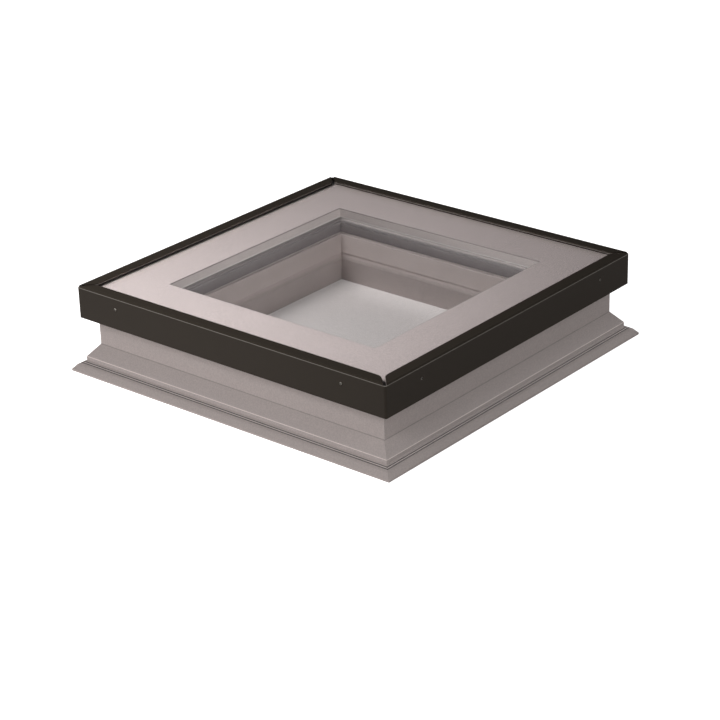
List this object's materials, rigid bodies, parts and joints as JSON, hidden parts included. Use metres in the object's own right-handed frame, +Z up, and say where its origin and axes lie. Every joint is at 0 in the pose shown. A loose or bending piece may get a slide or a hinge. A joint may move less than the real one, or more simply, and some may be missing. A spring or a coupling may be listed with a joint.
{
  "type": "roof skylight",
  "caption": "Square flat-glass roof skylight: dark folded cover round a pale-bordered glazing unit on a white hollow upstand with a flared base flange.",
  "frame": {"origin": "centre of the square base, on the plane the flange rests on", "axes": "+Z up through the glass, X and Y along the sides of the square"},
  "size_m": [0.981, 0.981, 0.2197],
  "materials": {
    "white_profile": "satin extruded PVC",
    "foam": "cut rigid foam",
    "dark_profile": "satin extruded PVC",
    "dark_cover": "satin powder coat",
    "clear_glass": "polished",
    "enamel": "fired enamel under glass",
    "spacer": "matt warm-edge bar",
    "sealant": "matt sealant",
    "seal_rubber": "matt rubber",
    "block_plastic": "moulded plastic",
    "cast_key": "cast",
    "zinc_screw": "zinc plated",
    "dark_screw": "painted head"
  },
  "bodies": {
    "root": {"upstand_front": "white_profile", "upstand_right": "white_profile", "upstand_back": "white_profile", "upstand_left": "white_profile", "insulation_front": "foam", "insulation_right": "foam", "insulation_back": "foam", "insulation_left": "foam", "carrier_front": "dark_profile", "carrier_right": "dark_profile", "carrier_back": "dark_profile", "carrier_left": "dark_profile", "corner_key_1": "cast_key", "corner_key_2": "cast_key", "corner_key_3": "cast_key", "corner_key_4": "cast_key", "outer_pane": "clear_glass", "enamel_border": "enamel", "spacer_frame": "spacer", "edge_sealant": "sealant", "inner_pane": "clear_glass", "bed_gasket": "seal_rubber", "inner_bond_bead": "sealant", "outer_bond_tape": "sealant", "inner_seat_seal": "seal_rubber", "outer_seat_seal": "seal_rubber", "rim_gasket_front": "seal_rubber", "rim_gasket_right": "seal_rubber", "rim_gasket_back": "seal_rubber", "rim_gasket_left": "seal_rubber", "setting_blocks": "block_plastic", "cover_frame": "dark_cover", "carrier_screws": "zinc_screw", "cover_screws": "dark_screw"}
  },
  "joints": []
}
